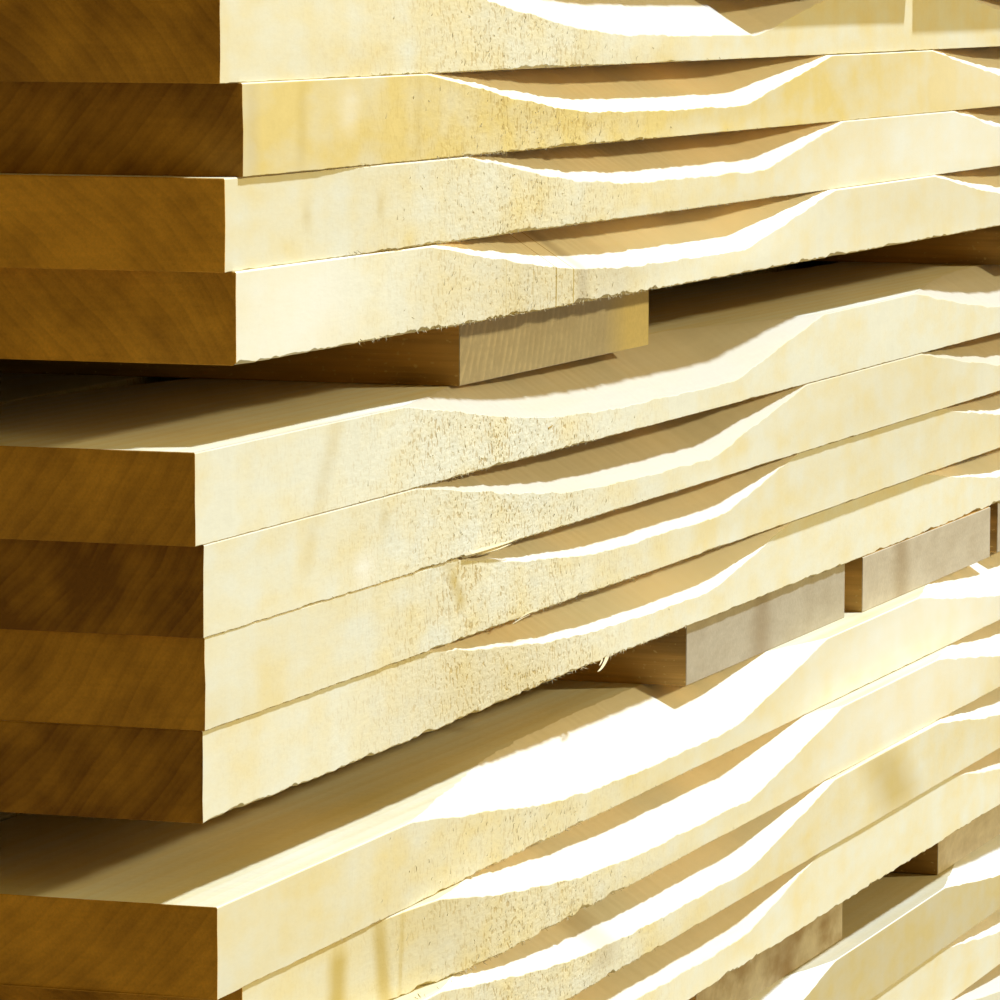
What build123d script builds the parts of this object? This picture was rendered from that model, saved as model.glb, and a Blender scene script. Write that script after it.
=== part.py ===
"""A stack of sawn pallet base boards in groups of four layers, kept apart by flat cross boards.

X runs along the boards, Y across the stack and Z up. The face with the lit long edges is at -Y, and
the board ends that the picture shows are at -X. The origin is the middle of the stack on the floor.
"""

import math
import os

from build123d import *

# Base board: the sawn blank, its two plain ends and the plain stretch over the middle block
BOARD_LENGTH = 1200.0
BOARD_WIDTH = 100.0
BOARD_THICKNESS = 22.0
END_FLAT = 145.0
MIDDLE_FLAT = 145.0

# Milled run-out chamfer on the upper long edges. The cutter is tilted, drops in slowly, runs a little
# deeper to the far corner and lifts out faster. Depths are measured down the long edge, and the runs
# are lengths along the board for each millimetre of depth
CHAMFER_DEPTH = 14.0
CUTTER_TILT = 33.0
DROP_RUN = 9.5
LIFT_RUN = 7.1
RUN_FALL = 1.2
DROP_RADIUS = 1200.0
LIFT_RADIUS = 150.0
CUTTER_CLEARANCE = 1.0

# Layout of the stack
BOARDS_PER_LAYER = 8
SIDE_GAP = 2.0

# Cross boards that lie between the groups
CROSS_THICKNESS = 19.0
CROSS_BACK_SETBACK = 8.0

# Groups from the top down, each with its layers from the top down. A layer has the setback of its
# long face and then, for its front board, the shift along the stack, the depth of its chamfers, and
# how far along from the nominal places the cutter dropped in and lifted out
GROUPS = (
    (
        (2.0, 0.0, 14.0, 8.0, 8.0),
        (1.0, 6.0, 13.0, 0.0, -4.0),
        (3.0, -3.0, 14.5, 4.0, 8.0),
        (2.0, 4.0, 14.0, 10.0, 5.0),
    ),
    (
        (0.0, 3.0, 14.7, 22.0, 25.0),
        (-0.8, 15.5, 14.4, -14.0, -6.0),
        (-1.2, 3.3, 13.2, 17.0, 28.0),
        (-2.2, 7.7, 14.8, -3.0, 0.0),
    ),
    (
        (2.6, -6.4, 15.0, 5.6, 17.6),
        (2.6, -1.4, 15.2, 12.7, -9.3),
        (3.8, 2.5, 12.4, 15.3, 2.3),
        (6.2, 6.3, 13.9, 8.8, -6.2),
    ),
    (
        (-1.5, -3.4, 15.6, 3.4, 3.4),
        (-7.5, -2.0, 15.2, 4.0, 4.0),
        (-9.2, 3.0, 14.0, -18.0, -9.0),
        (-8.2, 1.0, 13.1, -6.0, -12.0),
    ),
    (
        (-6.0, 4.0, 14.0, 5.0, 5.0),
        (-5.0, -3.0, 13.0, 0.0, 4.0),
        (-7.0, 5.0, 14.0, 6.0, 2.0),
        (-6.0, 0.0, 14.5, 2.0, 2.0),
    ),
)

# Levels of cross boards from the top down: the width of the boards at that level, then for each
# board its distance from the near end and the setback of its end
CROSS_LEVELS = (
    (186.0, ((452.0, -6.0), (650.0, -7.5), (848.0, -7.0))),
    (172.0, ((205.0, 11.5), (853.0, 9.0))),
    (186.0, ((407.0, 8.0), (609.0, 6.0), (811.0, 7.0))),
    (172.0, ((400.0, 2.0), (708.0, 3.0), (1016.0, 1.0))),
)

# Small shifts along the stack of the boards behind the front one, used in turn
HIDDEN_SHIFTS = (5.0, -4.0, 8.0, 0.0, -7.0, 3.0, 11.0, -2.0, 6.0, -5.0, 1.0)

STACK_WIDTH = BOARDS_PER_LAYER * BOARD_WIDTH + (BOARDS_PER_LAYER - 1) * SIDE_GAP
CHAMFER_LENGTH = (BOARD_LENGTH - 2 * END_FLAT - MIDDLE_FLAT) / 2
DEEP_START = DROP_RUN * (CHAMFER_DEPTH - RUN_FALL)
DEEP_END = CHAMFER_LENGTH - LIFT_RUN * CHAMFER_DEPTH


def chamfer_cutter(nominal_start, drop_shift, lift_shift, depth):
    """The solid that the milling cutter sweeps along the front upper edge."""
    tilt = math.radians(CUTTER_TILT)
    near_bite = (depth - RUN_FALL) * math.cos(tilt)
    far_bite = depth * math.cos(tilt)
    deep_start = DEEP_START + drop_shift
    deep_end = DEEP_END + lift_shift
    start = deep_start - DROP_RUN * (depth - RUN_FALL)
    end = deep_end + LIFT_RUN * depth
    outline = [
        (start, 0),
        (deep_start, -near_bite),
        (deep_end, -far_bite),
        (end, 0),
        (end, CUTTER_CLEARANCE),
        (start, CUTTER_CLEARANCE),
    ]
    path = make_face(Polyline(outline, close=True))
    for radius, place in ((DROP_RADIUS, deep_start), (LIFT_RADIUS, deep_end)):
        corner = path.vertices().sort_by_distance((place, -far_bite))[0]
        path = fillet(corner, radius)
    edge = Plane(
        origin=(nominal_start, 0, BOARD_THICKNESS),
        x_dir=(1, 0, 0),
        z_dir=(0, -math.cos(tilt), -math.sin(tilt)),
    )
    reach = BOARD_WIDTH / 2
    return extrude(edge * path, amount=reach, both=True)


def plain_board():
    """A board without chamfers, with its near front lower corner at the origin."""
    return Box(BOARD_LENGTH, BOARD_WIDTH, BOARD_THICKNESS, align=(Align.MIN, Align.MIN, Align.MIN))


def milled_board(depth, drop_shift, lift_shift):
    """A board with two run-out chamfers on each upper long edge."""
    middle = Plane.XZ.offset(-BOARD_WIDTH / 2)
    board = plain_board()
    for start in (END_FLAT, BOARD_LENGTH - END_FLAT - CHAMFER_LENGTH):
        cutter = chamfer_cutter(start, drop_shift, lift_shift, depth)
        board = board - cutter - mirror(cutter, about=middle)
    return board


def layer(index, values, is_top):
    """One layer of boards side by side. Only boards that show from outside have their chamfers."""
    face, front_shift, depth, drop_shift, lift_shift = values
    boards = []
    for column in range(BOARDS_PER_LAYER):
        shown = is_top or column in (0, BOARDS_PER_LAYER - 1)
        board = milled_board(depth, drop_shift, lift_shift) if shown else plain_board()
        turn = index * BOARDS_PER_LAYER + column
        shift = HIDDEN_SHIFTS[turn % len(HIDDEN_SHIFTS)] if column else front_shift
        boards.append(Pos(shift, face + column * (BOARD_WIDTH + SIDE_GAP), 0) * board)
    return boards


def cross_board(start, setback, width):
    """A flat board across the stack, square from the saw, its end setback behind the long face."""
    length = STACK_WIDTH - setback - CROSS_BACK_SETBACK
    board = Box(width, length, CROSS_THICKNESS, align=(Align.MIN, Align.MIN, Align.MIN))
    return Pos(start, setback, 0) * board


def build_stack():
    """Every node by name, before the stack is moved to its origin."""
    nodes = {}
    height = 0.0
    layer_count = 0
    for number in range(len(GROUPS), 0, -1):
        layers = GROUPS[number - 1]
        for place in range(len(layers), 0, -1):
            is_top = number == 1 and place == 1
            boards = layer(layer_count, layers[place - 1], is_top)
            nodes[f"group_{number}_layer_{place}"] = [Pos(0, 0, height) * board for board in boards]
            height += BOARD_THICKNESS
            layer_count += 1
        if number > 1:
            width, places = CROSS_LEVELS[number - 2]
            for turn, (start, setback) in enumerate(places, 1):
                board = cross_board(start, setback, width)
                nodes[f"cross_board_{number - 1}_{turn}"] = [Pos(0, 0, height) * board]
            height += CROSS_THICKNESS
    return nodes


def main():
    nodes = build_stack()
    box = Compound([solid for solids in nodes.values() for solid in solids]).bounding_box()
    to_origin = Pos(-box.center().X, -box.center().Y, -box.min.Z)
    os.makedirs("parts", exist_ok=True)
    for name, solids in nodes.items():
        moved = [to_origin * solid for solid in solids]
        export_step(moved[0] if len(moved) == 1 else Compound(moved), f"parts/{name}.step")


main()
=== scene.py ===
"""Dresses the stack of pallet base boards: rough sawn edges, milled chamfers, torn arrises, splinters."""

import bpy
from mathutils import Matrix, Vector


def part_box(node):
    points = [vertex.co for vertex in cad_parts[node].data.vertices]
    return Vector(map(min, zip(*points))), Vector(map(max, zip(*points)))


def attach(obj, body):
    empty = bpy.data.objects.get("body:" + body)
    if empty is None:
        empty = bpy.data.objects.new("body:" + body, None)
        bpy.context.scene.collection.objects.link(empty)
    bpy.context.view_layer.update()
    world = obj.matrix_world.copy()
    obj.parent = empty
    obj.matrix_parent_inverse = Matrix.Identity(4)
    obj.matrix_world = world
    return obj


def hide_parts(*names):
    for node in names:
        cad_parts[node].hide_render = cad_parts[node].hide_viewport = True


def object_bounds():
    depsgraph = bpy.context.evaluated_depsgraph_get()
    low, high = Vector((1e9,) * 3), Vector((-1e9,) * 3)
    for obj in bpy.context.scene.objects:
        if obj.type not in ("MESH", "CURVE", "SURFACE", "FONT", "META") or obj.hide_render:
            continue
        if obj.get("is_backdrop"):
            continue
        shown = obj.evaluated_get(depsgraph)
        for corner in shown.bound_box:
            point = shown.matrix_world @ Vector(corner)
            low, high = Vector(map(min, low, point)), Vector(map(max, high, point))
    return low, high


bl_info = {
    "name": "Stack of pallet base boards",
    "version": (1, 0, 0),
    "blender": (4, 5, 0),
    "location": "View3D > Sidebar > Board Stack",
    "description": "Builds the sawn base boards, cross boards, splinters and studio around the packed stack",
    "category": "Object",
}

import math

import bpy
import numpy as np
from bpy.props import FloatProperty, FloatVectorProperty, IntProperty, PointerProperty
from bpy.types import Operator, Panel, PropertyGroup
from mathutils import Matrix, Vector

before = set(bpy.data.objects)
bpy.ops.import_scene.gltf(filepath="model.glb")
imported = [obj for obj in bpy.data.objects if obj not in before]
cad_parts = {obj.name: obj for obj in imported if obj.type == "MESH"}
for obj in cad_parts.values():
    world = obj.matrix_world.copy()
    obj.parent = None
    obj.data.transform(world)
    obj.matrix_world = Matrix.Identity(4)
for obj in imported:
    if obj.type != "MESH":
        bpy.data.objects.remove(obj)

MM = 0.001

# Faces that meet at more than this angle show a sharp edge
SHARP_ANGLE = math.radians(24)

# Surfaces of a board, in the order of its material slots
FACE, EDGE, CHAMFER, END, UNDERSIDE = range(5)

# Camera: place from the stack's low corner, in metres, then heading from +X toward +Y, tilt down and
# roll in degrees, and the focal length in picture widths
CAMERA_FROM_CORNER = (-1.1274, -0.4477, 0.4117)
CAMERA_HEADING = 18.83
CAMERA_TILT = 5.657
CAMERA_ROLL = 0.191
FOCAL_WIDTHS = 5.275
SENSOR = 36.0

# Lamps: name, the way toward each, strength, colour and how wide they are in degrees
LAMPS = (
    ("Key lamp", (0.55, -1.0, 2.15), 4.6, (0.68, 0.81, 1.0), 3.5),
    ("Fill lamp", (0.6, -1.0, 0.485), 1.80, (1.0, 0.83, 0.42), 3.5),
    ("Back lamp", (0.15, 1.0, 0.30), 1.05, (1.0, 0.82, 0.55), 20.0),
)

# Soft light from all round, and the backdrop that the camera sees
AMBIENT_COLOUR = (1.0, 0.67, 0.08)
AMBIENT_STRENGTH = 0.21
BACKDROP_COLOUR = (0.93, 0.92, 0.90)
FLOOR_HALF = 12.0

# Groups whose front boards stand close to the camera and get the finest stations
CLOSE_GROUPS = (2, 3, 4)

# Front boards by node: warmth of the sapwood, greyness, brightness, how speckled the long face is,
# how dark the cut end is, which is painted shade, darker on ends that sit back and are shaded by
# their neighbours' ends, and how bright the milled chamfers are
FRONT_TONES = {
    "group_2_layer_1": (0.40, 0.03, 0.98, 0.7, 0.60, 1.00),
    "group_2_layer_2": (0.86, 0.02, 0.95, 0.7, 0.86, 1.20),
    "group_2_layer_3": (0.38, 0.00, 0.94, 0.7, 0.16, 1.08),
    "group_2_layer_4": (0.16, 0.10, 1.01, 0.7, 0.32, 1.30),
    "group_3_layer_1": (0.14, 0.00, 0.93, 1.0, 0.58, 0.76),
    "group_3_layer_2": (0.22, 0.00, 0.93, 0.9, 1.10, 0.78),
    "group_3_layer_3": (0.32, 0.03, 0.93, 0.9, 0.50, 1.00),
    "group_3_layer_4": (0.22, 0.08, 0.97, 1.1, 0.96, 1.20),
    "group_4_layer_1": (0.46, 0.02, 0.91, 0.4, 0.30, 1.00),
    "group_4_layer_2": (0.50, 0.03, 0.92, 0.8, 0.50, 1.00),
    "group_4_layer_3": (0.45, 0.05, 0.93, 0.9, 0.50, 1.00),
    "group_4_layer_4": (0.30, 0.00, 0.96, 0.5, 0.50, 1.00),
    "group_5_layer_1": (0.80, 0.35, 0.80, 0.4, 0.50, 0.90),
    "group_5_layer_2": (0.25, 0.10, 0.95, 0.4, 0.50, 1.00),
}

# The same for all other boards, as the range that each value is taken from. Their low brightness is
# partly painted shade that keeps the gaps between boards dark; the darkness of their cut ends is random tone
OTHER_TONES = ((0.1, 0.6), (0.0, 0.03), (0.74, 0.84), (0.3, 0.9), (0.1, 0.9), (0.78, 0.88))

# Brown and grey marks on front boards: distance from the near end and width along the board,
# lean toward the far end per unit of height, lowest and highest part of the thickness, strength of
# brown and of grey, where a grey below 0 is a pale patch
MARKS = {
    "group_2_layer_2": (
        (0, 0.012, 0, 0, 1, 0, 0.3),
        (0.035, 0.008, 0.1, 0, 1, 0.12, 0),
        (0.063, 0.016, 0.3, 0.3, 0.95, 0, -0.3),
        (0.1195, 0.006, 0.1, 0, 1, 0.1, 0),
        (0.6, 0.45, 0, 0, 1, 0, -0.35),
    ),
    "group_2_layer_3": (
        (0.054, 0.007, 0, 0.35, 0.65, 0.14, 0),
        (0.1035, 0.006, 0, 0.45, 0.65, 0.16, 0),
        (0.48, 0.5, 0, 0, 1, 0, -0.4),
    ),
    "group_2_layer_4": (
        (0.002, 0.085, 0, 0, 1, 0, -0.6),
        (0.135, 0.2, 0, 0, 1, 0.16, 0),
        (0.196, 0.0012, 0, 0, 1, 0.3, 0),
        (0.205, 0.001, 0, 0, 1, 0.25, 0),
        (0.219, 0.0012, 0, 0, 1, 0.3, 0),
        (0.2389, 0.001, 0, 0, 1, 0.95, 0),
        (0.2544, 0.0008, 0, 0, 1, 0.75, 0),
        (0.2569, 0.013, 0, 0, 1, 0, 0.6),
        (0.2709, 0.045, 0, 0, 1, 0, 0.2),
        (0.47, 0.45, 0, 0, 1, 0.12, 0),
    ),
    "group_3_layer_1": ((0.0815, 0.012, 0.7, 0, 1, 0.13, 0),),
    "group_3_layer_2": (
        (0.064, 0.01, 0.5, 0.4, 1, 0.08, 0),
        (0.117, 0.01, 0.3, 0.55, 0.85, 0.14, 0),
        (0.1, 0.018, 0, 0.02, 0.4, 0, -0.5),
        (0.46, 0.4, 0, 0, 1, 0.1, 0),
    ),
    "group_3_layer_3": (
        (0.1755, 0.009, -1, 0.42, 0.97, 0.36, 0),
        (0.46, 0.4, 0, 0, 1, 0.05, 0),
    ),
    "group_3_layer_4": ((0.115, 0.185, 0, 0, 1, 0.19, 0),),
    "group_4_layer_1": ((0.47, 0.4, 0, 0, 1, 0, -0.5),),
    "group_4_layer_2": (
        (0.05, 0.14, 0, 0, 1, 0.1, 0),
        (0.073, 0.017, 0.1, 0, 0.92, 0.42, 0),
        (0.106, 0.013, -0.2, 0, 1, 0.4, 0),
        (0.1225, 0.004, 0.1, 0, 1, 0.28, 0),
        (0.48, 0.3, 0, 0, 1, 0, -0.4),
    ),
    "group_4_layer_3": (
        (0.256, 0.03, 0.3, 0.15, 0.9, 0.08, 0.45),
        (0.56, 0.062, -1.4, 0, 1, 0.34, 0),
    ),
}

# Ends of cross boards by node: where the yellow sapwood strip starts as a share of the width, how
# mottled with brown it is, brightness, how clear its rings are, and the share of the width where an
# upright brown smudge lies, below 0 for none
CROSS_TONES = {
    "cross_board_2_1": (0.74, 0.15, 1.06, 0.8, -1.0),
    "cross_board_3_1": (1.20, 0.2, 0.93, 0.12, 0.45),
    "cross_board_3_2": (1.20, 0.2, 1.10, 0.12, 0.28),
    "cross_board_4_1": (1.20, 0.8, 1.22, 0.3, 0.60),
    "cross_board_4_2": (1.20, 0.3, 1.32, 0.2, -1.0),
}
OTHER_CROSS_TONE = (0.90, 0.4, 1.0, 0.5, -1.0)

# Where the middle of the log lay for cross boards whose rings show, from the low corner of their end
CROSS_PITHS = {"cross_board_2_1": (-0.080, 0.065)}

# Knots and dark fibres pressed in the long face: distance from the near end, height above the
# underside, length along the board, rise over that length and width, all in metres
KNOTS = {
    "group_3_layer_1": (
        (0.261, 0.0068, 0.006, 0.0008, 0.0011),
        (0.2575, 0.004, 0.003, 0, 0.0005),
    ),
}

# Single splinters at the lower arris: distance from the near end and height of the root above
# the underside, then from root to tip the length along the board, the rise and how far it stands out,
# the bow and the width, all in metres
SPLINTERS = {
    "group_3_layer_2": (
        (0.185, 0.0005, 0.043, 0.0003, 0.0009, -0.0002, 0.0018),
        (0.196, -0.0002, 0.026, 0.0003, 0.001, -0.0004, 0.0011),
    ),
    "group_3_layer_3": (
        (0.23, -0.0003, 0.016, 0.0014, 0.001, 0.0002, 0.0004),
        (0.226, -0.001, 0.012, 0.0014, 0.001, 0.0001, 0.0003),
        (0.334, 0.0004, 0.001, -0.0016, 0.001, 0.0003, 0.0008),
    ),
    "group_3_layer_4": (
        (0.3165, 0.001, -0.013, -0.0034, 0.0006, -0.001, 0.0014),
        (0.311, 0.0004, -0.006, -0.0012, 0.0006, -0.0003, 0.0006),
    ),
}

# Torn stretches of the lower arris with a fringe of fibres: distance from the near end, length, number
# of fibres and how far they hang down
FRINGES = {
    "group_2_layer_2": ((0.1345, 0.058, 90, 0.0014),),
    "group_3_layer_2": ((0.18, 0.05, 40, 0.0008),),
    "group_3_layer_1": ((0.15, 0.06, 25, 0.0007),),
    "group_3_layer_3": ((0.2, 0.07, 30, 0.0008),),
    "group_3_layer_4": ((0.08, 0.3, 90, 0.0008),),
    "group_2_layer_4": ((0.12, 0.2, 60, 0.0006),),
}

# Front boards that bow at their near end: how far forward, how far their near end stands out past the
# plain board's, and the distances from the near end where the bow is full and where it ends
BOWS = {
    "group_2_layer_3": (-0.0014, -0.0035, 0.05, 0.13),
    "group_2_layer_4": (-0.0015, -0.0037, 0.1, 0.16),
    "group_3_layer_3": (0.001, 0.0025, 0.13, 0.3),
    "group_3_layer_4": (0.0027, 0.0067, 0.13, 0.3),
    "group_4_layer_2": (-0.0068, -0.017, 0.08, 0.19),
}

# The light fringe that every close board has besides its own ones, and the number of its loose fibres
COMMON_FRINGE = (0.08, 0.36, 70, 0.6 * MM)
LOOSE_FIBRES = 80

# Layer at the bottom of a group, whose lower arris lies free over the gap
LOWEST_LAYER = 4

# Stations across the broken arris at a cut end, in arris widths from the end
END_STEPS = np.array([0.0, 0.35, 0.9, 2.2])

# Cross boards: station spacing along them, and points across their broad faces as shares of the width
CROSS_STEP = 8 * MM
CROSS_SHARES = np.linspace(0.04, 0.96, 24)

# Ends of cross boards, as shares of the width: how softly the sapwood strip sets in and how far a
# smudge reaches from its middle
STRIP_BORDER = 0.14
SMUDGE_REACH = 0.10

# Soft border of the marks up and down the face, as a share of the thickness
MARK_BORDER = 0.08

# Marks narrower than this get stations of their own
NARROW_MARK = 3 * MM

# Painted shade: how much golden brown is laid on the torn lower arris, whose bevel faces down into shade
TORN_ARRIS_SHADE = 0.3

# Colour of the palest patches of the sapwood
FRESH_WOOD = (0.93, 0.94, 0.90)

# Along the front boards the saw left its roughest stretch about this far from the near end
ROUGH_MIDDLE = 0.22
ROUGH_SPAN = 0.095


class BoardSizes(PropertyGroup):
    """Sizes of the relief that the saw and the mill left."""

    arris: FloatProperty(
        name="Arris", description="Width of the broken sawn corner", default=0.3 * MM, unit="LENGTH"
    )
    torn: FloatProperty(
        name="Torn edge", description="Deepest chip of the lower arris", default=2.6 * MM, unit="LENGTH"
    )
    wander: FloatProperty(
        name="Saw wander", description="How far the saw left its line", default=0.45 * MM, unit="LENGTH"
    )
    close_step: FloatProperty(
        name="Close step", description="Station spacing where the camera is close", default=1.2 * MM,
        unit="LENGTH"
    )
    far_step: FloatProperty(
        name="Far step", description="Station spacing beyond the close stretch", default=2.4 * MM,
        unit="LENGTH"
    )
    plain_step: FloatProperty(
        name="Plain step", description="Station spacing of boards away from the camera", default=14 * MM,
        unit="LENGTH"
    )
    close_length: FloatProperty(
        name="Close stretch", description="Length that gets the close step", default=0.38, unit="LENGTH"
    )
    far_length: FloatProperty(
        name="Far stretch", description="Length up to which the far step is used", default=0.84,
        unit="LENGTH"
    )
    ring_width: FloatProperty(
        name="Ring width", description="Growth ring spacing", default=4.2 * MM, unit="LENGTH"
    )
    seed: IntProperty(name="Seed", description="Seed of all chosen offsets", default=1200)


class BoardColours(PropertyGroup):
    """Colours of the wood, as it looks in plain light, and of the painted shade on undersides and torn
    arrises.
    """

    pale: FloatVectorProperty(
        name="Pale wood", description="Fuzzy sapwood", default=(0.88, 0.88, 0.75), subtype="COLOR"
    )
    warm: FloatVectorProperty(
        name="Warm wood", description="Yellow wood", default=(0.78, 0.63, 0.25), subtype="COLOR"
    )
    milled: FloatVectorProperty(
        name="Milled wood", description="Clean cut of the chamfer", default=(0.86, 0.79, 0.63),
        subtype="COLOR"
    )
    speck: FloatVectorProperty(
        name="Specks", description="Pores and torn fibre roots", default=(0.46, 0.29, 0.05),
        subtype="COLOR"
    )
    # This colour also paints the shade on the torn lower arris
    mark: FloatVectorProperty(
        name="Marks", description="Golden brown streaks on the long faces", default=(0.51, 0.37, 0.08),
        subtype="COLOR"
    )
    grey: FloatVectorProperty(
        name="Grey wood", description="Weathered strips", default=(0.50, 0.44, 0.32), subtype="COLOR"
    )
    end_early: FloatVectorProperty(
        name="End grain", description="Early wood on a cut end", default=(0.80, 0.43, 0.06),
        subtype="COLOR"
    )
    end_late: FloatVectorProperty(
        name="End grain rings", description="Late wood on a cut end", default=(0.20, 0.088, 0.012),
        subtype="COLOR"
    )
    cross_end: FloatVectorProperty(
        name="Cross board end", description="Greyed end grain", default=(0.50, 0.44, 0.33),
        subtype="COLOR"
    )
    # Painted shade: the dark brown of undersides and cross boards, which keeps the gaps between the boards
    # dark
    brown: FloatVectorProperty(
        name="Brown wood", description="Undersides and sides of cross boards", default=(0.68, 0.41, 0.12),
        subtype="COLOR"
    )
    stain: FloatVectorProperty(
        name="Stain", description="Brown patches on cross board ends", default=(0.24, 0.15, 0.05),
        subtype="COLOR"
    )
    floor: FloatVectorProperty(
        name="Floor", description="Plain pale floor", default=(0.70, 0.655, 0.62), subtype="COLOR"
    )
    bounce: FloatVectorProperty(
        name="Floor bounce", description="Colour of the light that the floor throws back",
        default=(0.20, 0.15, 0.07), subtype="COLOR"
    )


class Noise:
    """Smooth seeded noise along one or two directions, between -1 and 1."""

    def __init__(self, rng, knots=512):
        self.values = rng.uniform(-1, 1, (knots, knots // 8))

    def along(self, x, pitch, row=0.0):
        """Noise at x with knots pitch apart, drifting slowly with row."""
        rows = self.values.shape[1]
        u = np.asarray(x) / pitch + 7.3
        v = np.asarray(row) + np.zeros_like(u)
        i, j = np.floor(u).astype(int), np.floor(v).astype(int)
        a, b = u - i, v - j
        a, b = a * a * (3 - 2 * a), b * b * (3 - 2 * b)
        near = self.pick(i, j, rows) * (1 - a) + self.pick(i + 1, j, rows) * a
        far = self.pick(i, j + 1, rows) * (1 - a) + self.pick(i + 1, j + 1, rows) * a
        return near * (1 - b) + far * b

    def pick(self, i, j, rows):
        return self.values[i % self.values.shape[0], j % rows]


class Board:
    """One board as the frame has it: its box and how far the mill cut its long edges down."""

    def __init__(self, points):
        self.low, self.high = points.min(axis=0), points.max(axis=0)
        self.length, self.width, self.thick = self.high - self.low
        tiny = 0.02 * MM
        front = np.abs(points[:, 1] - self.low[1]) < tiny
        rim = points[front & (points[:, 2] > self.low[2] + tiny)]
        rim = rim[np.argsort(rim[:, 0])]
        self.rim_x, self.rim_drop = rim[:, 0] - self.low[0], self.high[2] - rim[:, 2]
        depth = self.rim_drop.max()
        self.milled = depth > tiny
        top = np.abs(points[:, 2] - self.high[2]) < tiny
        near_half = points[:, 1] < (self.low[1] + self.high[1]) / 2
        reach = (points[top & near_half][:, 1] - self.low[1]).max()
        self.slope = depth / reach if self.milled else 1.0

    def drop(self, x):
        """How far down the long edge the mill cut at x, counted from the board's near end."""
        return np.interp(x, self.rim_x, self.rim_drop)


def boards_of(node):
    """The boards of a layer node, from the front of the stack to the back."""
    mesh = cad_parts[node].data
    points = np.empty(len(mesh.vertices) * 3)
    mesh.vertices.foreach_get("co", points)
    points = points.reshape(-1, 3)
    levels = np.unique(np.round(points[:, 1], 5))
    breaks = []
    corners = np.empty(len(mesh.loops), dtype=int)
    mesh.loops.foreach_get("vertex_index", corners)
    spans = points[corners.reshape(-1, 3), 1]
    lows, highs = spans.min(axis=1), spans.max(axis=1)
    for low, high in zip(levels[:-1], levels[1:]):
        middle = (low + high) / 2
        if not np.any((lows < middle) & (highs > middle)):
            breaks.append(middle)
    order = np.searchsorted(breaks, points[:, 1])
    return [Board(points[order == place]) for place in range(len(breaks) + 1)]


def stations(board, sizes, detail):
    """Places along a board where its section is drawn, closer together toward the camera."""
    ends = END_STEPS * sizes.arris
    if detail == "close":
        near = np.arange(1.5 * MM, sizes.close_length, sizes.close_step)
        far = np.arange(sizes.close_length, sizes.far_length, sizes.far_step)
        rest = np.arange(sizes.far_length, board.length - 3 * MM, sizes.plain_step)
        inner = np.concatenate([near, far, rest])
    elif detail == "plain":
        inner = np.arange(6 * MM, board.length - 6 * MM, sizes.plain_step)
    else:
        inner = np.linspace(30 * MM, board.length - 30 * MM, 5)
    return np.concatenate([ends, inner, board.length - ends[::-1]])


def roughness_at(x):
    """How rough the saw left a front board at distance x, from 0 to 1."""
    return np.exp(-(((x - ROUGH_MIDDLE) / ROUGH_SPAN) ** 2))


def face_behind(noise, sizes, x, share, side=0):
    """How far a long face lies behind its line, at a share of its height."""
    row = 1 + 5 * share + 30 * side
    broad = 1 + noise.along(x, 120 * MM, row / 3)
    fine = np.abs(noise.along(x, 5 * MM, 20 + row)) * (0.1 + 0.9 * roughness_at(x))
    return sizes.wander * (0.35 * broad + 0.30 * fine)


def section(board, x, sizes, noise, detail, is_free=True):
    """Section points of a board at every station, going round from the bottom to the front.

    Returns y and z as arrays of stations by section points, and the surface of each step between
    two neighbouring section points.
    """
    arris = sizes.arris
    close = detail == "close"
    cut = board.drop(x)
    wave = 0.30 * MM * noise.along(x, 11 * MM, 40) + 0.22 * MM * noise.along(x, 2.9 * MM, 43) * close
    depth = np.maximum(cut + wave * np.clip(cut / (3 * MM), 0, 1), arris)
    reach = np.maximum(depth / board.slope * (cut > 0), arris)
    tear = np.zeros_like(x)
    if detail != "hidden":
        region = 0.5 + 0.5 * noise.along(x, 48 * MM, 3)
        fine = noise.along(x, 2.1 * MM, 5) ** 2
        scallops = np.abs(noise.along(x, 4.5 * MM, 11))
        chips = np.clip(noise.along(x, 9 * MM, 8), 0, 1) ** 2
        tear = sizes.torn * (0.2 + 0.8 * region) * (0.25 * fine + 0.40 * scallops + 0.6 * chips)
        tear = tear * (0.75 + 0.25 * roughness_at(x) if is_free else 0.2 + 0.7 * roughness_at(x))
    width, thick = board.width, board.thick
    loose = 0.30 * sizes.wander * (1 + noise.along(x, 160 * MM, 12)) * np.clip(x / 0.16, 0.15, 1)
    top, floor = thick - loose, 0.0 * x
    zero = np.zeros_like(x)
    points, kinds = [], []

    def add(y, z, kind):
        points.append((y + zero, z + zero))
        kinds.append(kind)

    for share in (0.8, 0.6, 0.4, 0.2):
        add(width * share, floor, UNDERSIDE)
    for side in (0, 1):
        path = []
        low_face = face_behind(noise, sizes, x, 0.0, side)
        foot = 0.6 * arris * (1.0 if is_free else 0.4 + 0.6 * roughness_at(x)) + tear
        path.append((low_face + 0.7 * foot + 0.8 * tear, floor, EDGE))
        path.append((low_face + 0.45 * foot, floor + 0.7 * foot, EDGE))
        path.append((low_face, floor + foot, EDGE))
        rise = top - depth - foot
        for share in (0.25, 0.5, 0.75):
            path.append((face_behind(noise, sizes, x, share, side), foot + rise * share, EDGE))
        high_face = face_behind(noise, sizes, x, 1.0, side)
        lip = np.minimum(0.35 * arris, 0.3 * reach)
        path.append((high_face, top - depth - lip, EDGE))
        path.append((high_face + lip, top - depth + lip * depth / reach, CHAMFER))
        for share in (0.35, 0.7):
            path.append((high_face + reach * share, top - depth + depth * share, CHAMFER))
        path.append((high_face + reach - lip, top - 0.4 * lip, CHAMFER))
        path.append((high_face + reach + lip, top, FACE))
        if side == 0:
            for y, z, kind in path:
                add(y, z, kind)
            for share in (0.3, 0.5, 0.7):
                add(width * share, top, FACE)
        else:
            kinds_back = [kind for _, _, kind in path]
            for place in range(len(path) - 1, -1, -1):
                y, z, _ = path[place]
                add(width - y, z, kinds_back[place - 1] if place else UNDERSIDE)
    return points, kinds


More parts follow.
